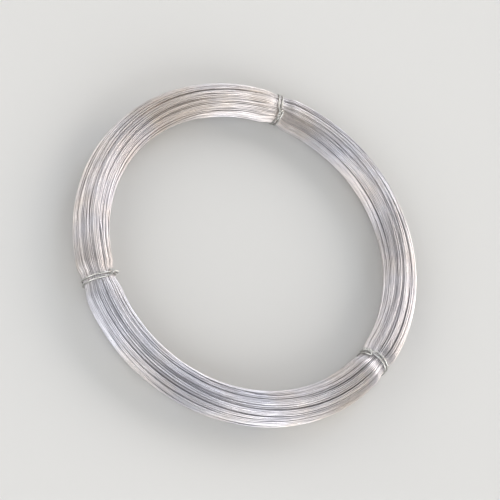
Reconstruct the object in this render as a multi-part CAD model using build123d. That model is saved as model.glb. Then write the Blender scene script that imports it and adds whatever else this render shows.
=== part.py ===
"""A coil of drawn superalloy wire, lying flat, with three tie wires round its bundle.

The wire is wound to a ring round a bare bore. Its hundreds of turns are one turned solid, whose
outline has a ridge for each lay of turns, so the turns show on both ends and on both walls.
Under each tie the bundle is drawn in to a waist. Each tie is one length of soft round wire,
wrapped twice round the waist, with its ends twisted together and folded down on the bore side.
Millimetres, +Z up, the origin on the floor at the centre of the bore.
"""

import os
from math import acos, cos, degrees, pi, radians, sin

from build123d import *

# The coil, as it lies on the floor
bore_diameter = 400.0
bundle_width = 48.0
bundle_height = 46.0
lay_count = 13
lay_unevenness = 0.25
lay_slope_share = 0.3

# The grooves between the lays: deepest on top, where nothing presses the lays together, and
# evened out where a tie does
side_groove_depth = 1.0
top_groove_depth = 2.6
tied_groove_share = 0.4

# The ties, and how far the bundle is drawn in at these distances from one along the ring
tie_count = 3
first_tie_angle = 15.0
tie_wire_diameter = 2.2
waist_stations = ((20.0, 0.0), (13.0, 0.6), (6.5, 1.0))

# The wraps of a tie and its twisted tail; the wire has few sides, as it has many bends
wire_sides = 12
wrap_count = 2
wrap_pitch = 5.0
wrap_corners = 12
tail_angle = 124.5
tail_length = 13.0
tail_turns = 1.6
tail_corners = 5
bend_corners = 3
wire_gap = 0.05

# Worked out from the sizes above
bundle_radius = bundle_width / 2
ring_radius = bore_diameter / 2 + bundle_radius
slack_height = bundle_height - bundle_radius
floor_half_angle = degrees(acos(slack_height / bundle_radius))
tie_radius = tie_wire_diameter / 2
waist_height = bundle_height / 2
waist_radius = waist_height - tie_wire_diameter
wrap_radius = waist_radius + tie_radius
wrap_corner_radius = wrap_radius / cos(pi / wrap_corners)
strand_offset = (tie_radius + wire_gap / 2) / cos(pi / tail_corners)
tail_radius = wrap_corner_radius + 2 * tie_radius + wire_gap + strand_offset


def round_bundle(angle, reach, height, along=0.0):
    """A point this far out from the bundle's own line, at this angle round it from outward.

    Along is measured on the ring's middle line, from the +X side.
    """
    out = ring_radius + reach * cos(radians(angle))
    turned = along / ring_radius
    return Vector(out * cos(turned), out * sin(turned), height + reach * sin(radians(angle)))


def lay_borders():
    """Angles round the bundle where one lay of turns meets the next.

    They start at the floor on the outside of the ring and go up, over and down the bore side.
    """
    shares = [1 + lay_unevenness * sin(2.4 * lay) for lay in range(lay_count)]
    borders = [floor_half_angle - 90]
    for share in shares:
        borders.append(borders[-1] + (360 - 2 * floor_half_angle) * share / sum(shares))
    return borders


def groove_depth(angle, squeeze):
    """How far the groove at this angle round the bundle lies below the crests beside it."""
    upward = max(0, sin(radians(angle)))
    depth = side_groove_depth + (top_groove_depth - side_groove_depth) * upward**2
    return depth * (1 + squeeze * (tied_groove_share - 1))


def bundle_section(squeeze=0.0, along=0.0):
    """The bundle's outline at a distance along the ring: slack at squeeze 0, a waist at 1.

    A lay is a straight crest with a slope down to the groove on each side. Turned, these are
    cones, which give a light mesh where rounded lays would not.
    """
    radius = bundle_radius + squeeze * (waist_radius - bundle_radius)
    height = slack_height + squeeze * (waist_height - slack_height)
    borders = lay_borders()
    points = []
    for lay, (start, end) in enumerate(zip(borders, borders[1:])):
        slope = lay_slope_share * (end - start)
        groove = groove_depth(start, squeeze) if lay else 0
        points.append(round_bundle(start, radius - groove, height, along))
        points.append(round_bundle(start + slope, radius, height, along))
        points.append(round_bundle(end - slope, radius, height, along))
    points.append(round_bundle(borders[-1], radius, height, along))
    return make_face(Polyline(*points, close=True))


def waist():
    """The stretch of bundle under a tie: drawn in, held on a short land and let out again."""
    sections = [bundle_section(squeeze, -away) for away, squeeze in waist_stations]
    sections += [bundle_section(squeeze, away) for away, squeeze in reversed(waist_stations)]
    return loft(sections, ruled=True)


def tie_angles():
    return [first_tie_angle + 360 * tie / tie_count for tie in range(tie_count)]


def wire_coil():
    """The whole ring: a waist at each tie and a turned stretch from there to the next."""
    waist_half_angle = degrees(waist_stations[0][0] / ring_radius)
    stretch = Rot(0, 0, waist_half_angle) * revolve(
        bundle_section(), Axis.Z, revolution_arc=360 / tie_count - 2 * waist_half_angle
    )
    pieces = []
    for angle in tie_angles():
        pieces += [Rot(0, 0, angle) * waist(), Rot(0, 0, angle) * stretch]
    return pieces[0].fuse(*pieces[1:])


def tail_strand(side):
    """One of a tie's two ends, twisted with the other, from the root of the tail to the tip."""
    steps = round(tail_turns * tail_corners)
    strand = []
    for step in range(steps + 1):
        turned = 2 * pi * step / tail_corners
        strand.append(round_bundle(
            tail_angle + degrees(tail_length / tail_radius) * step / steps,
            tail_radius + side * strand_offset * sin(turned),
            waist_height,
            -side * strand_offset * cos(turned),
        ))
    return strand


def tail_bend():
    """Where the first strand doubles back under the tail to start the wraps."""
    bend_radius = (tail_radius - wrap_radius) / 2
    sideways = wrap_pitch * wrap_count / 2 - strand_offset
    bend = []
    for corner in range(1, bend_corners + 1):
        turned = pi * corner / bend_corners
        bend.append(round_bundle(
            tail_angle - degrees(bend_radius * sin(turned) / tail_radius),
            tail_radius - bend_radius * (1 - cos(turned)),
            waist_height,
            -strand_offset - sideways * corner / bend_corners,
        ))
    return bend


def tie_wraps():
    """The wraps, side by side round the waist, with a flat against the floor and at the top."""
    step = 360 / wrap_corners
    wraps = []
    for corner in range(1, wrap_count * wrap_corners + 1):
        angle = 90 + step / 2 + step * corner
        along = wrap_pitch * ((angle - tail_angle) / 360 - wrap_count / 2)
        wraps.append(round_bundle(angle, wrap_corner_radius, waist_height, along))
    return wraps


def tie_wire():
    """A whole tie on the +X side: one wire from the tip of one strand to the tip of the other."""
    route = Polyline(*tail_strand(1)[::-1], *tail_bend(), *tie_wraps(), *tail_strand(-1))
    section = Plane(origin=route @ 0, z_dir=route % 0) * RegularPolygon(tie_radius, wire_sides)
    return sweep(section, route, transition=Transition.RIGHT)


if __name__ == "__main__":
    os.makedirs("parts", exist_ok=True)
    export_step(wire_coil(), "parts/wire_coil.step")
    tie = tie_wire()
    for number, angle in enumerate(tie_angles(), start=1):
        export_step(Rot(0, 0, angle) * tie, f"parts/tie_wire_{number}.step")
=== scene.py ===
# %% [markdown]
# # A coil of superalloy wire
#
# The object is a ring of bright nickel-alloy wire, about half a metre across, that lies flat on
# the floor. One wire some hundreds of metres long runs round the ring again and again, and three
# short tie wires hold its turns together. The CAD part says how big everything is and where it
# is. This script adds what CAD leaves out: the single turns, and how the metal takes the light.

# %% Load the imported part
from math import atan2, cos, pi, radians, sin, tau

import bpy
import numpy as np
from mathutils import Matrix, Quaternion, Vector


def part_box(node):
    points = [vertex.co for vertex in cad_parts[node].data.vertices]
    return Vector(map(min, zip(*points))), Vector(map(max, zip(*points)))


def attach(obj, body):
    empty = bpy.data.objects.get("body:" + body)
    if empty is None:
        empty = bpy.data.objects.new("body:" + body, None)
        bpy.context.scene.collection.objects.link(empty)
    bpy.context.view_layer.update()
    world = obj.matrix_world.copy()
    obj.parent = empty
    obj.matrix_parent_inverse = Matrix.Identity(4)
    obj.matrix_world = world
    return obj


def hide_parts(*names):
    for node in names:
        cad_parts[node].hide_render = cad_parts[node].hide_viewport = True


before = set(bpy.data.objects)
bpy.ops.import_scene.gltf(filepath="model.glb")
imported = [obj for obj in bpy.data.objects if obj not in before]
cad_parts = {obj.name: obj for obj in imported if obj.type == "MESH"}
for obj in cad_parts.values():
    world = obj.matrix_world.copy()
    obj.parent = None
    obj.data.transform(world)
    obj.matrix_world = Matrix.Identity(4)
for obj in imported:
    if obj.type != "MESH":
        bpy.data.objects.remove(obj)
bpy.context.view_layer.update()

# %% [markdown]
# ## Sizes
#
# The ring's sizes could be typed in again, but then a change in the CAD part would be missed here.
# So its bore, outer radius and height are read from the CAD solid, and so is the place of each
# tie. Two sizes are typed in. The wire is 2 mm thick, which is what the photograph's finest lines
# come to, and the tie wire is 2.2 mm. A skin of a tenth of a millimetre keeps the turns just
# inside the bundle's full radius.

# %% Sizes of the ring, read from the CAD
corners = np.array([v.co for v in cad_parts["wire_coil"].data.vertices])
reach = np.hypot(corners[:, 0], corners[:, 1])
bore_radius, outer_radius = reach.min(), reach.max()
ring_radius = (bore_radius + outer_radius) / 2
bundle_radius = (outer_radius - bore_radius) / 2
bundle_height = corners[:, 2].max()
tie_names = sorted(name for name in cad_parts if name.startswith("tie_wire"))
tie_angles = []
for name in tie_names:
    low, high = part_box(name)
    tie_angles.append(atan2(low.y + high.y, low.x + high.x))
tie_angles = np.array(tie_angles)

wire_diameter = 0.0020
tie_diameter = 0.0022
wire_radius, tie_radius = wire_diameter / 2, tie_diameter / 2
skin = 0.0001
slack_radius = bundle_radius - skin
slack_height = bundle_height - bundle_radius
waist_height = bundle_height / 2
waist_radius = waist_height - tie_diameter - skin
print(f"ring radius {ring_radius:.4f} m, bundle radius {bundle_radius:.4f} m, "
      f"ties at {[round(a * 360 / tau) for a in tie_angles]} degrees")

# %% [markdown]
# ## The lays
#
# The turns lie in lays, which the CAD solid shows as ridges with grooves between them. Away from
# the ties its section is the same everywhere, so its corners there, seen from the bundle's own
# line, say how far out the surface is in every direction. Each dip in that line is a groove. The
# turns will follow these grooves, so the scene and the CAD solid show the same lays.

# %% The section's corners and grooves, read from the CAD
clear_of_tie = 0.030
same_to_digits = 4
shallow = 0.0005
directions = 1440


def from_tie(angle):
    """How far along the ring the nearest tie is, in metres."""
    turned = (np.asarray(angle)[:, None] - tie_angles + pi) % tau - pi
    return np.abs(turned).min(1) * ring_radius


slack = from_tie(np.arctan2(corners[:, 1], corners[:, 0])) > clear_of_tie
section_out, section_up = (reach - ring_radius)[slack], corners[slack, 2] - slack_height
polar = np.array([np.arctan2(section_up, section_out), np.hypot(section_out, section_up)])
corner_place, corner_reach = np.unique(np.round(polar, same_to_digits), axis=1)


def surface_dip(around):
    """How far the CAD surface lies under the bundle's full radius, in these directions."""
    surface = np.interp(around, corner_place, corner_reach, period=tau)
    return np.maximum(bundle_radius - surface, 0)


grid = tau * np.arange(directions) / directions
dips = surface_dip(grid)
is_groove = (dips > np.roll(dips, 1)) & (dips >= np.roll(dips, -1)) & (dips > shallow)
groove_place, groove_depth = grid[is_groove], dips[is_groove]
print(f"{len(groove_place)} grooves, {groove_depth.min() * 1000:.1f} to "
      f"{groove_depth.max() * 1000:.1f} mm deep")

# %% [markdown]
# ## Where the bundle narrows
#
# Between the ties the turns lie loose and settle flat on the floor. Under a tie they are drawn
# together. A lattice could squeeze the finished turns there, but it would squeeze the wire thin
# as well. So a number says beforehand how far they are drawn in at any angle round the ring: 1 at
# a tie, and 0 two centimetres away, with a smooth ramp between, because wire is too stiff to
# kink. Stations are the places round the ring where the turns get their points. They crowd near
# the ties, where the wire bends most. The first lies past a tie, where the loose end comes out.

# %% How far the bundle is drawn in, round the ring
held_length = 0.0065
ramp_length = 0.0155
loose_end_past_tie = 0.012
stations = 216
steps_per_station = 20
crowding, crowd_length = 2.0, 0.022


def smooth_ramp(share):
    """From 0 to 1 as the share does, starting and ending gently."""
    share = np.clip(share, 0, 1)
    return share * share * (3 - 2 * share)


whole_way = np.linspace(0, tau, steps_per_station * stations)
fine_angle = tie_angles[-1] + loose_end_past_tie / ring_radius + whole_way
density = 1 + crowding * np.exp(-(from_tie(fine_angle) / crowd_length) ** 2)
passed = np.cumsum(density) - density[0]
wanted = passed[-1] * np.arange(stations) / stations
station_angle = np.interp(wanted, passed, fine_angle)
station_share = (station_angle - station_angle[0]) / tau
squeeze = 1 - smooth_ramp((from_tie(station_angle) - held_length) / ramp_length)
loose = 1 - squeeze
station_radius = slack_radius + squeeze * (waist_radius - slack_radius)
station_height = slack_height + squeeze * (waist_height - slack_height)
gaps = np.diff(station_angle) * ring_radius * 1000
print(f"{stations} stations round the ring, {gaps.min():.1f} to {gaps.max():.1f} mm apart")

# %% [markdown]
# ## Winding the wire
#
# A coil of this size has some 380 turns, but only the outer three layers can be seen. They
# could be 174 separate rings. Here they are one long line, as on the real coil: the end of each
# turn is the start of the next, one place further round the bundle, and each layer starts where
# the one below ends. `place` is the angle round the bundle that an evenly wound turn would have.

# %% Lay the turns out evenly
layer_turns = (52, 58, 64)
layer_depths = (0.0037, 0.0019, 0.0)
start_place = radians(215)
outer_layer = len(layer_turns) - 1
turns = sum(layer_turns)

layer = np.repeat(np.arange(len(layer_turns)), layer_turns)[:, None]
turn_depth = np.array(layer_depths)[layer]
first_turn = np.cumsum((0,) + layer_turns[:-1])[layer]
turn = np.arange(turns)[:, None] + station_share
place = start_place + tau * (turn - first_turn) / np.array(layer_turns)[layer]
print(f"{turns} turns in {len(layer_turns)} layers, "
      f"{turns * tau * ring_radius:.0f} m of wire to be seen")

# %% [markdown]
# ## Making it uneven
#
# Wound evenly, the ring looks like a machined thread. What makes it wire is how it goes wrong.
# A little noise on each point would only make it rough. Long smooth waves, closed both ways round
# the ring, make the turns drift up and down together, so that one now and then passes from a lay
# to the next. The outer turns also bunch into lays and part at the grooves, widest where a groove
# is deep. Those below them do so a little less, which leaves gaps deep enough to look dark.

# %% Drift the turns and bunch them into lays
chance = np.random.default_rng(seed=11)
layer_bunching = (0.0, 0.035, 0.060)
drift_size = 0.14


def wandering(waves, ups, alongs):
    """A smooth random shift over the bundle's surface, from -1 to 1, closed both ways round."""
    shift = 0
    for _ in range(waves):
        up, along = chance.integers(*ups), chance.integers(*alongs)
        phase = chance.uniform(0, tau)
        wave = np.cos(up * place + along * station_angle + phase)
        shift = shift + chance.normal() * wave / up
    return shift / np.abs(shift).max()


drifted = place + drift_size * loose * wandering(waves=16, ups=(1, 6), alongs=(1, 5))
lay_starts = np.append(groove_place, groove_place[0] + tau)
lay_share = np.interp((drifted - lay_starts[0]) % tau + lay_starts[0], lay_starts,
                      np.arange(len(lay_starts)))
parting = np.interp(drifted, groove_place, groove_depth / groove_depth.max(), period=tau)
around = drifted + np.array(layer_bunching)[layer] * parting * np.sin(tau * lay_share)
print(f"turns drift up to {drift_size * slack_radius * 1000:.1f} mm round the bundle")

# %% [markdown]
# ## Bows and strays
#
# A tie holds every turn where it is, and from there to the next tie each stretch of wire is free
# to bow its own way. Most bow a little. A few bow far enough to cross their neighbours, and these
# strays are what tells a wound coil from a bundle of rods. A sine does for the shape of a bow,
# squared so that it leaves the ties without a kink, and skewed so that no two look alike.

# %% Bow each stretch of wire between two ties
usual_bow = 0.05
stray_bow = 0.42
stray_stretches = 34
least_skew, most_skew = 0.7, 1.4

on_top = layer == outer_layer
tie_gap = tau / len(tie_angles)
way = (station_angle[0] - tie_angles[-1] + tau * turn) / tie_gap
stretch = way.astype(int)
bow = chance.normal(0, usual_bow, stretch.max() + 1)
strays = chance.choice(len(bow), stray_stretches, replace=False)
bow[strays] = chance.uniform(-stray_bow, stray_bow, stray_stretches)
skew = chance.uniform(least_skew, most_skew, len(bow))[stretch]
around = around + on_top * bow[stretch] * np.sin(pi * (way % 1) ** skew) ** 2
print(f"{len(bow)} stretches of wire from tie to tie, {stray_stretches} of them stray")

# %% [markdown]
# ## How far out a turn may lie
#
# The turns fill the bundle's round section, cut flat by the floor. A shrinkwrap onto the CAD solid
# would press every turn onto its surface, and none would lie loose. So each direction only gets a
# limit. Over a groove of the solid the limit lies deeper, here a little more and there a little
# less than the groove. Stray turns lie over the others, so theirs is nearer to the full radius.

# %% Find the room for each turn
groove_least, groove_most = 0.6, 1.2
groove_middle, groove_swing = 0.5, 0.8
tied_groove_share = 0.4
ripple = 0.0005
stray_share = 0.2
nearly_level = 0.001

groove_share = groove_middle + groove_swing * wandering(waves=12, ups=(2, 9), alongs=(1, 5))
groove_share = groove_least + (groove_most - groove_least) * np.clip(groove_share, 0, 1)
groove_share = groove_share * (loose + tied_groove_share * squeeze)
is_stray = np.isin(stretch, strays) & on_top
riding = 1 - (1 - stray_share) * is_stray
rippled = ripple * loose * np.abs(wandering(waves=10, ups=(6, 16), alongs=(1, 5)))


def outline(around):
    """How far out each turn's middle may be from the bundle's line, in these directions."""
    down = np.maximum(-np.sin(around), nearly_level)
    dip = riding * (groove_share * surface_dip(around) + rippled)
    return np.minimum(station_radius - wire_radius - skin - dip,
                      (station_height - wire_radius) / down)


out_from_line = outline(around) - turn_depth
section = out_from_line[..., None] * np.stack([np.cos(around), np.sin(around)], -1)
outer_out = out_from_line[-layer_turns[-1]:] * 1000
print(f"the outer turns lie {outer_out.min():.1f} to {outer_out.max():.1f} mm "
      "from the bundle's line")

# %% [markdown]
# ## Letting the turns settle
#
# So far some turns pass through each other. A rigid-body simulation of 250 m of springy wire
# would take hours. A short one of our own does what matters. In each round every point is drawn
# towards the middle of its two neighbours on the wire, which is the wire's stiffness, then a
# little inward, and then away from any other turn nearer than one wire diameter. The stiffness
# works on shares of the bundle's radius, so that it doesn't smooth away the neck at a tie. No
# turn gives way by more than a wire's thickness.

# %% Find the neighbours and straighten the wire
neighbours = 10
stiffness = 0.5
room = station_radius[:, None]


def find_nearest(section):
    """At each station, the numbers of the turns nearest to each turn, itself among them."""
    flat = section.transpose(1, 0, 2).astype(np.float32)
    apart = ((flat[:, :, None] - flat[:, None]) ** 2).sum(-1)
    return np.argpartition(apart, neighbours, axis=2)[:, :, :neighbours + 1]


def straighten(section, times):
    """Each point moves towards the middle of its two neighbours on the wire."""
    line = (section / room).reshape(-1, 2)
    for _ in range(times):
        line[1:-1] += stiffness * ((line[:-2] + line[2:]) / 2 - line[1:-1])
    return line.reshape(turns, stations, 2) * room


print(f"each turn looks at the {neighbours} turns nearest to it")

# %% Push the turns apart and keep them in their room
yielding = 0.45
sag = 0.0020
never_zero = 1e-9
by_station = np.arange(stations)[:, None, None]


def push_apart(section, nearest):
    """Each point moves away from the turns that are nearer than one wire diameter."""
    flat = section.transpose(1, 0, 2)
    gap = flat[:, :, None] - flat[by_station, nearest]
    far = np.maximum(np.linalg.norm(gap, axis=-1, keepdims=True), never_zero)
    flat = flat + yielding * (gap * np.maximum(wire_diameter - far, 0) / far).sum(2)
    return flat.transpose(1, 0, 2).copy()


def keep_in_room(section):
    """No point stays outside the bundle, or deeper than its layer and the sag let it lie."""
    limit = outline(np.arctan2(section[..., 1], section[..., 0]))
    far = np.linalg.norm(section, axis=-1)
    kept = np.clip(far, limit - turn_depth - sag, limit)
    return section * (kept / far)[..., None]


print(f"a turn may sink {sag * 1000:.0f} mm under its limit")

# %% [markdown]
# ## Seventy rounds
#
# The rounds move every point by a small amount, so it takes many of them before a stray turn lies
# over the others and its neighbours have closed up beside it. Which turns are near each other
# changes slowly, so it is looked up anew only now and then. The last rounds straighten the wire
# once and not twice, so that what has been pushed apart stays apart.

# %% Settle the turns
settling_rounds = 70
gentle_rounds = 10
search_every = 20
sinking = 0.000005

for step in range(settling_rounds):
    if step % search_every == 0:
        nearest = find_nearest(section)
    gentle = step >= settling_rounds - gentle_rounds
    section = straighten(section, times=1 if gentle else 2)
    section = section * (1 - sinking / np.linalg.norm(section, axis=-1, keepdims=True))
    section = keep_in_room(push_apart(section, nearest))

flat = section.transpose(1, 0, 2)
apart = np.linalg.norm(flat[:, :, None] - flat[:, None], axis=-1) + np.eye(turns)
print(f"nearest turns are {np.percentile(apart.min(2), 1) * 1000:.2f} mm to "
      f"{np.percentile(apart.min(2), 99) * 1000:.2f} mm apart, middle to middle")

# %% [markdown]
# ## From a line to a wire
#
# Blender could make a curve round with its bevel depth. A mesh made point by point is chosen
# instead, because it can carry more: each point keeps the length of wire before it and its place
# round the wire, under the name `straight_wire`. The material reads that as if the wire had been
# pulled straight, so its marks follow every turn. The UV map lays each turn in a strip of its own.


# %% The points, faces and UV map of a round wire
def ring_points(middle, side, over, radius, sides):
    """Rings of points round a line, and where each point lies across the wire."""
    lap = tau * np.arange(sides) / sides
    across = np.stack([np.cos(lap), np.sin(lap)], -1) * np.reshape(radius, (-1, 1, 1))
    across = np.broadcast_to(across, (len(middle), sides, 2))
    points = middle[:, None] + across[..., :1] * side[:, None] + across[..., 1:] * over[:, None]
    return points.reshape(-1, 3), across.reshape(-1, 2)


def ring_faces(count, sides):
    """Four-sided faces from each ring of points to the next, and a cap on either end."""
    first, lane = np.divmod(np.arange((count - 1) * sides), sides)
    beside = (lane + 1) % sides
    quads = np.stack([first * sides + lane, first * sides + beside,
                      (first + 1) * sides + beside, (first + 1) * sides + lane], -1)
    caps = [list(range(sides))[::-1], list(range((count - 1) * sides, count * sides))]
    return quads.tolist() + caps


def face_uv(count, sides, per_strip):
    """The UV of each face's corners: the wire lies in strips, with so many rings to each."""
    first, lane = np.divmod(np.arange((count - 1) * sides), sides)
    strip, spot = np.divmod(first, per_strip)
    strips = strip[-1] + 1
    u = np.stack([spot, spot, spot + 1, spot + 1], -1) / per_strip
    v = (strip[:, None] + np.stack([lane, lane + 1, lane + 1, lane], -1) / sides) / strips
    caps = np.zeros((2 * sides, 2))
    return np.concatenate([np.stack([u, v], -1).reshape(-1, 2), caps])


print("a six-sided wire through three points has", len(ring_faces(count=3, sides=6)), "faces")


# %% A tool that makes round wire
def make_wire(name, middle, side, over, radius, sides, per_strip):
    """A round wire along `middle`; `side` and `over` are directions square to it at each point."""
    points, across = ring_points(middle, side, over, radius, sides)
    faces = ring_faces(len(middle), sides)
    quads = len(faces) - 2
    mesh = bpy.data.meshes.new(name)
    mesh.from_pydata(points.tolist(), [], faces)

    steps = np.linalg.norm(np.diff(middle, axis=0), axis=1)
    length = np.repeat(np.concatenate([[0], np.cumsum(steps)]), sides)
    straight = np.column_stack([length, across]).astype(np.float32)
    marks = mesh.attributes.new("straight_wire", "FLOAT_VECTOR", "POINT")
    marks.data.foreach_set("vector", straight.ravel())
    uv = face_uv(len(middle), sides, per_strip).astype(np.float32)
    mesh.uv_layers.new(name="OFBake").data.foreach_set("uv", uv.ravel())
    mesh.polygons.foreach_set("use_smooth", [True] * quads + [False] * 2)

    piece = bpy.data.objects.new(name, mesh)
    bpy.context.scene.collection.objects.link(piece)
    print(f"{name}: {length[-1]:.2f} m long, {2 * quads + 2 * (sides - 2)} triangles")
    return piece


# %% [markdown]
# ## The turns as pieces
#
# The three layers become three pieces, so that each stays light enough to handle. The outer one
# gets the most sides. The deepest is only seen as a glint between the others, so it has the
# fewest sides and every second station. One vertical direction serves as a guide for them all,
# because the wire runs level everywhere.

# %% Make the layers of turns
layer_names = ("turns_deep", "turns_middle", "turns_outer")
layer_sides = (6, 6, 7)
layer_steps = (2, 1, 1)
angle = np.tile(station_angle, turns)
line = section.reshape(-1, 2)
out = ring_radius + line[:, 0]
height = np.tile(station_height, turns) + line[:, 1]
whole = np.column_stack([out * np.cos(angle), out * np.sin(angle), height])

wire_pieces = []
for number, name in enumerate(layer_names):
    begin = sum(layer_turns[:number]) * stations
    end = begin + layer_turns[number] * stations
    middle = whole[begin:end + 1:layer_steps[number]]
    ahead = np.gradient(middle, axis=0)
    side = np.cross(ahead, (0, 0, 1))
    side /= np.linalg.norm(side, axis=1, keepdims=True)
    over = np.cross(side, ahead)
    over /= np.linalg.norm(over, axis=1, keepdims=True)
    piece = make_wire(name, middle, side, over, wire_radius, layer_sides[number],
                      stations // layer_steps[number])
    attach(piece, "root")
    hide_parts("wire_coil")
    wire_pieces.append(piece)

# %% [markdown]
# ## The taut line of a tie
#
# Each tie is one soft wire, wound twice round the bundle. It could follow a circle, but then it
# would hover over some turns and cut through others. A taut wire takes the shortest way round
# what lies beneath it, straight from one proud turn to the next. That way is found with a support
# function: for each direction it asks how far out the furthest turn reaches, and the answers
# together draw the taut line.

# %% Find the taut line round the turns under a tie
wrap_pitch = 0.0050
look_directions = 720


def taut_line(tie_angle, wanted):
    """How far out a taut tie wire's middle runs, in the wanted directions round the bundle."""
    turned = (station_angle - tie_angle + pi) % tau - pi
    held = np.abs(turned) * ring_radius < wrap_pitch / 2 + tie_radius
    turns_here = section[:, held].reshape(-1, 2)
    look_angle = tau * np.arange(look_directions) / look_directions
    apart = look_angle[1]
    looking = np.stack([np.cos(look_angle), np.sin(look_angle)], -1)
    support = (turns_here @ looking.T).max(0) + wire_radius + tie_radius
    slope = (np.roll(support, -1) - np.roll(support, 1)) / (2 * apart)
    beside = np.stack([-looking[:, 1], looking[:, 0]], -1)
    edge = support[:, None] * looking + slope[:, None] * beside
    edge_angle = np.arctan2(edge[:, 1], edge[:, 0])
    return np.interp(wanted, edge_angle, np.linalg.norm(edge, axis=1), period=tau)


tie_reach = taut_line(tie_angles[0], grid) * 1000
print(f"a tie runs {tie_reach.min():.1f} to {tie_reach.max():.1f} mm from the bundle's line")

# %% [markdown]
# ## The twisted tail of a tie
#
# The two ends of a tie are twisted together and folded down on the bore side, where they catch
# nothing. Two straight helices could be bent round the bundle afterwards. It is simpler to write
# each point as its place round the bundle, its distance from the bundle's line and its shift
# along the ring, because then a helix follows the bundle by itself. At the root of the tail one
# end doubles back under it.

# %% Twist the tail and bend its root
wrap_count = 2
tail_place = radians(124.5)
tail_length = 0.013
tail_turns = 1.6
tail_points = 40
bend_points = 14


def tail_strand(tail_far, hand):
    """One of the two twisted ends, from its root to its tip."""
    share = np.linspace(0, 1, tail_points)
    twist = tau * tail_turns * share
    return np.array([tail_place + tail_length / tail_far * share,
                     tail_far + hand * tie_radius * np.sin(twist),
                     -hand * tie_radius * np.cos(twist)])


def tail_bend(tail_far, wrap_far):
    """Where the first end doubles back under the tail, to start the wraps."""
    turned = pi * np.linspace(0, 1, bend_points + 2)[1:-1]
    bend_size = (tail_far - wrap_far) / 2
    sideways = wrap_pitch * wrap_count / 2 - tie_radius
    return np.array([tail_place - bend_size * np.sin(turned) / tail_far,
                     tail_far - bend_size * (1 - np.cos(turned)),
                     -tie_radius - sideways * smooth_ramp(turned / pi)])


print(f"the tail of a tie is {tail_length * 1000:.0f} mm long, with {tail_turns} twists")

# %% [markdown]
# ## The whole route of a tie
#
# The route goes from the tip of the first end down to the root of the tail, doubles back under
# it, runs twice round the bundle and rises again into the second end. Drawn by hand, it would
# need some hundred points for each tie. Joined from its parts, it fits every tie. The tail lies
# just clear of the first eight points of the wraps, which are the ones under it.

# %% Lay the route of a tie
wrap_points = 96
root_points = 8
rise_angle = radians(18)


def tie_route(tie_angle):
    """The tie's middle line as (out, up, along) from the bundle's line, end to end."""
    wrap_turn = tail_place + tau * np.linspace(0, wrap_count, wrap_count * wrap_points + 1)
    wrap_far = taut_line(tie_angle, wrap_turn)
    wrap_along = wrap_pitch * ((wrap_turn - tail_place) / tau - wrap_count / 2)
    tail_far = wrap_far[:root_points].max() + 2 * tie_radius + skin + tie_radius
    rise = smooth_ramp((wrap_turn - wrap_turn[-1]) / rise_angle + 1)
    wraps = np.array([wrap_turn, wrap_far + rise * (tail_far - wrap_far),
                      wrap_along + rise * (tie_radius - wrap_along)])
    first_end, second_end = tail_strand(tail_far, 1), tail_strand(tail_far, -1)
    second_end[0] += wrap_turn[-1] - tail_place
    parts = [first_end[:, ::-1], tail_bend(tail_far, wrap_far[0]), wraps[:, :-1], second_end]
    place, far, along = np.concatenate(parts, axis=1)
    return np.column_stack([far * np.cos(place), far * np.sin(place), along])


print(f"a tie's route has {len(tie_route(tie_angles[0]))} points")

# %% [markdown]
# ## Bending the tie wires
#
# A sweep along a line needs a direction square to the line at every point. The turns run level,
# so one fixed direction served them. A tie turns every way, so its direction is carried from each
# point to the next by the smallest turn that follows the bend. That keeps the tube from twisting
# or pinching. The points are spread evenly first, because evenly spaced rings shade smoothly.

# %% Spread the points and carry the directions
easing_rounds = 6
even_step = 0.0005


def even_points(route):
    """The same route with its corners eased, and its points one even step apart."""
    for _ in range(easing_rounds):
        route[1:-1] = (route[:-2] + 2 * route[1:-1] + route[2:]) / 4
    length = np.concatenate([[0], np.cumsum(np.linalg.norm(np.diff(route, axis=0), axis=1))])
    wanted = np.linspace(0, length[-1], int(length[-1] / even_step))
    return np.column_stack([np.interp(wanted, length, column) for column in route.T])


def carried_frame(ahead):
    """Directions square to the wire, carried along it without twisting."""
    side = [Vector(ahead[0]).orthogonal().normalized()]
    for before, after in zip(ahead, ahead[1:]):
        turn = Vector(before).rotation_difference(Vector(after))
        side.append(turn @ side[-1])
    side = np.array(side)
    over = np.cross(ahead, side)
    return side, over


print(f"the points of a tie come to lie {even_step * 1000:.1f} mm apart")

# %% [markdown]
# ## The tie wires as pieces
#
# The CAD's own ties could stay in view, but they have corners and follow the bundle's plain
# section. So each is replaced by a round one that lies on the turns in the same place. It has
# more sides than the turns have, because it stands out from them and is seen whole. The cut ends
# get a little thinner, as the cutters leave them.

# %% Make the tie wires
tie_sides = 12
rings_per_strip = 64
cut_length = 0.0004
cut_share = 0.72

tie_pieces = []
for name, tie_angle in zip(tie_names, tie_angles):
    route = even_points(tie_route(tie_angle))
    out = ring_radius + route[:, 0]
    turned = tie_angle + route[:, 2] / ring_radius
    middle = np.column_stack([out * np.cos(turned), out * np.sin(turned),
                              waist_height + route[:, 1]])
    ahead = np.gradient(middle, axis=0)
    ahead /= np.linalg.norm(ahead, axis=1, keepdims=True)
    side, over = carried_frame(ahead)
    from_end = np.minimum(np.arange(len(middle)), np.arange(len(middle))[::-1]) * even_step
    thickness = tie_radius * (cut_share + (1 - cut_share) * np.clip(from_end / cut_length, 0, 1))
    piece = make_wire(name + "_bent", middle, side, over, thickness, tie_sides, rings_per_strip)
    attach(piece, "root")
    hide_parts(name)
    tie_pieces.append(piece)

# %% [markdown]
# ## A tool for materials
#
# Blender's colour sockets hold linear values, while colours are mostly written down as sRGB hex.
# One function turns the second into the first, with the numbers that the sRGB standard gives.
# Another adds a node with its settings and links. A node group could be copied from a file, but
# nodes that are added by code can be read, and changed one number at a time.


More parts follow.
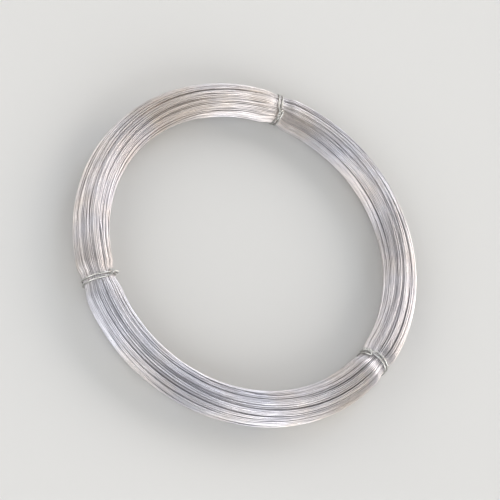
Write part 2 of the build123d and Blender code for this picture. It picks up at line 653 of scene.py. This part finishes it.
# %% Colours and nodes
def linear(hex_colour):
    """An sRGB colour such as "#C8C6C2" as the linear red, green, blue, alpha of a socket."""
    parts = [int(hex_colour[i:i + 2], 16) / 255 for i in (1, 3, 5)]
    return [p / 12.92 if p <= 0.04045 else ((p + 0.055) / 1.055) ** 2.4 for p in parts] + [1.0]


def add_node(owner, kind, settings=None, **inputs):
    """A node in a material or the world; an input is a value, or another node's output to link.

    Inputs go by name, or by number where several share a name: _0 is the first.
    """
    tree = owner.node_tree
    node = tree.nodes.new(kind)
    for setting, value in (settings or {}).items():
        setattr(node, setting, value)
    for key, value in inputs.items():
        socket = node.inputs[int(key[1:]) if key[0] == "_" else key.replace("_", " ")]
        if isinstance(value, bpy.types.NodeSocket):
            tree.links.new(value, socket)
        else:
            socket.default_value = value
    return node


def new_material(name):
    """An empty material, ready for its nodes."""
    material = bpy.data.materials.new(name)
    material.use_nodes = True
    material.node_tree.nodes.clear()
    return material


print(f"the sRGB grey #808080 is {linear('#808080')[0]:.3f} as a linear value")

# %% [markdown]
# ## Bright drawn nickel superalloy
#
# The wire is pulled cold through a die, over and over, which leaves it light grey and smooth,
# with fine lines along its length. The eye sees a satin sheen that runs along the turns and jumps
# from one turn to the next. The shader's anisotropy could stretch the highlights. Noise stretched
# along `straight_wire` is chosen, because it gives every turn marks of its own as well. The
# longest gives each turn its own tone, because it left the die some seconds after its neighbour.
# The next makes streaks a few centimetres long, duller where drawing soap was left on. The finest
# is the die lines: really 0.1 mm apart, they would vanish here, so they are drawn 0.6 mm apart.
# The last is a thin film of oxide, in patches of 13 cm that lie across all turns alike, and
# `film_shift` moves them to where the photograph shows them.

# %% The marks on the drawn wire
wire_metal = new_material("bright_drawn_nickel_superalloy")
tone_length = 0.25
streak_length, streak_width = 0.030, 0.003
die_line_length, die_line_gap = 0.045, 0.0006
film_patch = 0.13
film_shift = (0.7, 0.2, 0.9)

marks = add_node(wire_metal, "ShaderNodeAttribute", {"attribute_name": "straight_wire"})
along_wire = add_node(wire_metal, "ShaderNodeVectorMath", {"operation": "MULTIPLY"},
                      _0=marks.outputs["Vector"], _1=(1 / tone_length, 0, 0))
turn_tone = add_node(wire_metal, "ShaderNodeTexNoise", Vector=along_wire.outputs[0],
                     Scale=1.0, Detail=2.0, Roughness=0.6)
along_streak = add_node(wire_metal, "ShaderNodeVectorMath", {"operation": "MULTIPLY"},
                        _0=marks.outputs["Vector"],
                        _1=(1 / streak_length, 1 / streak_width, 1 / streak_width))
streaks = add_node(wire_metal, "ShaderNodeTexNoise", Vector=along_streak.outputs[0],
                   Scale=1.0, Detail=2.0, Roughness=0.6)
along_line = add_node(wire_metal, "ShaderNodeVectorMath", {"operation": "MULTIPLY"},
                      _0=marks.outputs["Vector"],
                      _1=(1 / die_line_length, 1 / die_line_gap, 1 / die_line_gap))
die_lines = add_node(wire_metal, "ShaderNodeTexNoise", Vector=along_line.outputs[0],
                     Scale=1.0, Detail=3.0, Roughness=0.6)
where = add_node(wire_metal, "ShaderNodeTexCoord")
shifted = add_node(wire_metal, "ShaderNodeVectorMath", {"operation": "ADD"},
                   _0=where.outputs["Object"], _1=film_shift)
film = add_node(wire_metal, "ShaderNodeTexNoise", Vector=shifted.outputs[0],
                Scale=1 / film_patch, Detail=3.0, Roughness=0.55)
print(f"streaks {streak_length * 1000:.0f} mm long, die lines {die_line_gap * 1000:.1f} mm apart")

# %% [markdown]
# ## The colour and sheen of the drawn wire
#
# Nickel alloys give back some seven tenths of the light, much the same in every colour. So the
# tone runs from a middle grey to nearly white about that value, and the film only tints it,
# faintly lavender in places and faintly warm in others. A typical roughness for drawn metal is
# 0.3. Here it is lower on the clean streaks and higher on the dull ones, and the die lines break
# it up further. A bump, a tenth of a millimetre at most, frays the edges of the highlights.

# %% The metal of the coil
streak_share = 0.6
streaked = add_node(wire_metal, "ShaderNodeMath", {"operation": "MULTIPLY_ADD"},
                    _0=streaks.outputs[0], _1=streak_share, _2=turn_tone.outputs[0])
tone = add_node(wire_metal, "ShaderNodeValToRGB", Fac=streaked.outputs[0])
dull, bright = tone.color_ramp.elements
dull.position, dull.color = 0.62, linear("#BAB9BA")
bright.position, bright.color = 0.94, linear("#F7F6F4")
tint = add_node(wire_metal, "ShaderNodeValToRGB", Fac=film.outputs[0])
lavender, warm = tint.color_ramp.elements
lavender.position, lavender.color = 0.38, linear("#F4F4FC")
warm.position, warm.color = 0.62, linear("#FFF6EF")
tinted = add_node(wire_metal, "ShaderNodeMix", {"data_type": "RGBA", "blend_type": "MULTIPLY"},
                  _0=1.0, _6=tone.outputs["Color"], _7=tint.outputs["Color"])
dullness = add_node(wire_metal, "ShaderNodeMath", {"operation": "SUBTRACT"},
                    _0=die_lines.outputs[0], _1=streaks.outputs[0])
sheen = add_node(wire_metal, "ShaderNodeMapRange", Value=dullness.outputs[0],
                 From_Min=-0.25, From_Max=0.25, To_Min=0.24, To_Max=0.44)
scored = add_node(wire_metal, "ShaderNodeBump", Height=die_lines.outputs[0],
                  Strength=0.6, Distance=0.0001)
surface = add_node(wire_metal, "ShaderNodeBsdfPrincipled", Base_Color=tinted.outputs[2],
                   Metallic=1.0, Roughness=sheen.outputs[0], Normal=scored.outputs[0])
add_node(wire_metal, "ShaderNodeOutputMaterial", Surface=surface.outputs[0])
for piece in wire_pieces:
    piece.data.materials.append(wire_metal)
print(f"{wire_metal.name}: {len(wire_metal.node_tree.nodes)} nodes")

# %% [markdown]
# ## Soft annealed tie wire
#
# Tie wire is heated after drawing, so that it can be twisted by hand. Its grey is darker than the
# coil's, which is painted shade, and it looks duller. Pliers and the turns below it leave small
# dents. A bump alone would hardly show them on so thin a wire, so the same noise also paints shade
# into them, and makes the rubbed metal between them glossier. A typical roughness for such wire is
# 0.35, and here it runs a little to either side.

# %% The metal of the ties
tie_metal = new_material("soft_annealed_tie_wire")
dent_length, dent_width = 0.0040, 0.0012

marks = add_node(tie_metal, "ShaderNodeAttribute", {"attribute_name": "straight_wire"})
along_dent = add_node(tie_metal, "ShaderNodeVectorMath", {"operation": "MULTIPLY"},
                      _0=marks.outputs["Vector"],
                      _1=(1 / dent_length, 1 / dent_width, 1 / dent_width))
dents_and_painted_shade = add_node(tie_metal, "ShaderNodeTexNoise", Vector=along_dent.outputs[0],
                 Scale=1.0, Detail=3.0, Roughness=0.55)
# Painted shade: the dents are darker, and the whole tie is a darker grey than the coil.
tone = add_node(tie_metal, "ShaderNodeValToRGB", Fac=dents_and_painted_shade.outputs[0])
painted_dent_shade, rubbed_grey_painted_shade = tone.color_ramp.elements
painted_dent_shade.position, painted_dent_shade.color = 0.35, linear("#A4A4A1")
rubbed_grey_painted_shade.position, rubbed_grey_painted_shade.color = 0.60, linear("#CECECA")
sheen = add_node(tie_metal, "ShaderNodeMapRange", Value=dents_and_painted_shade.outputs[0],
                 From_Min=0.35, From_Max=0.65, To_Min=0.42, To_Max=0.28)
dented = add_node(tie_metal, "ShaderNodeBump", Height=dents_and_painted_shade.outputs[0],
                  Strength=0.4, Distance=0.0002)
surface = add_node(tie_metal, "ShaderNodeBsdfPrincipled", Base_Color=tone.outputs["Color"],
                   Metallic=1.0, Roughness=sheen.outputs[0], Normal=dented.outputs[0])
add_node(tie_metal, "ShaderNodeOutputMaterial", Surface=surface.outputs[0])
for piece in tie_pieces:
    piece.data.materials.append(tie_metal)
print(f"{tie_metal.name}: {len(tie_metal.node_tree.nodes)} nodes")

# %% [markdown]
# ## The camera
#
# The photograph looks down at the coil from about 58 degrees above the floor, through a long
# lens, with the camera rolled, so that the ring's near side lies to the lower left. A camera can
# be aimed with a constraint. Here its rotation is worked out once, so that nothing is left to run.

# %% Place the camera
view_azimuth, view_elevation, view_roll = radians(-76), radians(58), radians(45)
view_distance = 1.60
lens_length = 85.0
aim_height = 0.012
camera = bpy.data.objects.new("camera", bpy.data.cameras.new("camera"))
bpy.context.scene.collection.objects.link(camera)
target = Vector((0, 0, aim_height))


def direction(azimuth, elevation):
    """The way to something that stands at this azimuth and elevation, one metre long."""
    return Vector((cos(elevation) * cos(azimuth), cos(elevation) * sin(azimuth), sin(elevation)))


sight = direction(view_azimuth, view_elevation)
camera.location = target + view_distance * sight
camera.rotation_mode = "QUATERNION"
camera.rotation_quaternion = (sight.to_track_quat("Z", "Y")
                              @ Quaternion((0, 0, 1), view_roll))
camera.data.lens = lens_length
bpy.context.scene.camera = camera
print("camera at", [round(x, 2) for x in camera.location])

# %% [markdown]
# ## The floor
#
# The coil lies on a plain studio floor. A backdrop that curves up behind would hide the floor's
# edge, but from one side only, and the coil is looked at from every side. So the floor is one
# large flat sheet. Its pale matt paint scatters the light evenly, and shows the coil's shadow but
# no mirror image of it.

# %% Make the floor
floor_size = 30.0
half = floor_size / 2
mesh = bpy.data.meshes.new("studio_floor")
mesh.from_pydata([(-half, -half, 0), (half, -half, 0), (half, half, 0), (-half, half, 0)],
                 [], [(0, 1, 2, 3)])
floor = bpy.data.objects.new("studio_floor", mesh)
bpy.context.scene.collection.objects.link(floor)

floor_paint = new_material("pale_matt_floor_paint")
surface = add_node(floor_paint, "ShaderNodeBsdfPrincipled", Base_Color=linear("#D8D8D6"),
                   Roughness=0.9)
add_node(floor_paint, "ShaderNodeOutputMaterial", Surface=surface.outputs[0])
mesh.materials.append(floor_paint)
print(f"floor {floor_size:.0f} m square")

# %% [markdown]
# ## The walls and the ceiling
#
# Bright metal has little colour of its own: it shows what is around it. One flat grey all round
# would make the coil look like plastic. So the world is a studio with pale walls and a dim
# ceiling. The coil's sides show the walls, its top shows the ceiling, and each turn, being round,
# shows a little of both. Real walls would have to be built and lit. The world's background needs
# only a ramp of two greys over the height that a ray looks at.

# %% Paint the world
world = bpy.data.worlds.new("studio")
bpy.context.scene.world = world
world.use_nodes = True
world.node_tree.nodes.clear()
toward = add_node(world, "ShaderNodeTexCoord")
parts = add_node(world, "ShaderNodeSeparateXYZ", Vector=toward.outputs["Generated"])
studio_grey = add_node(world, "ShaderNodeValToRGB", Fac=parts.outputs["Z"])
wall, ceiling = studio_grey.color_ramp.elements
wall.position, wall.color = 0.30, linear("#EAEAEA")
ceiling.position, ceiling.color = 0.65, linear("#8A8B8B")
studio = add_node(world, "ShaderNodeBackground", Color=studio_grey.outputs["Color"],
                  Strength=1.0)
add_node(world, "ShaderNodeOutputWorld", Surface=studio.outputs[0])
print(f"walls up to {wall.position:.2f} of a ray's rise, ceiling from {ceiling.position:.2f}")

# %% [markdown]
# ## The lamps
#
# Area lamps would leave hot spots on the floor below them. Sun lamps light it evenly, and a wide
# spread makes their shadows soft and their highlights long. Where each stands follows from the
# photograph: a highlight at some place on the ring needs a lamp in the direction that a mirror
# lying along the turns there would show. The standard view shows colours as they are written.


# %% Hang the lamps
def add_lamp(name, azimuth, elevation, spread, strength, colour):
    """A sun lamp: it shines from this direction, and `spread` is how wide it looks."""
    lamp = bpy.data.objects.new(name, bpy.data.lights.new(name, "SUN"))
    lamp.data.angle, lamp.data.energy = radians(spread), strength
    lamp.data.color = linear(colour)[:3]
    sight = direction(radians(azimuth), radians(elevation))
    lamp.rotation_euler = sight.to_track_quat("Z", "Y").to_euler()
    bpy.context.scene.collection.objects.link(lamp)


add_lamp("side_lamp", azimuth=-7, elevation=18, spread=50, strength=1.8, colour="#FFFFFF")
add_lamp("right_lamp", azimuth=74, elevation=19, spread=40, strength=1.4, colour="#FFF4E8")
add_lamp("back_lamp", azimuth=111, elevation=32, spread=34, strength=0.9, colour="#F4F7FF")
add_lamp("left_lamp", azimuth=191, elevation=16, spread=55, strength=1.15, colour="#FFFBF6")
add_lamp("front_lamp", azimuth=-93, elevation=20, spread=54, strength=1.4, colour="#FAFBFF")
bpy.context.scene.view_settings.view_transform = "Standard"
print(len(bpy.data.lights), "lamps")
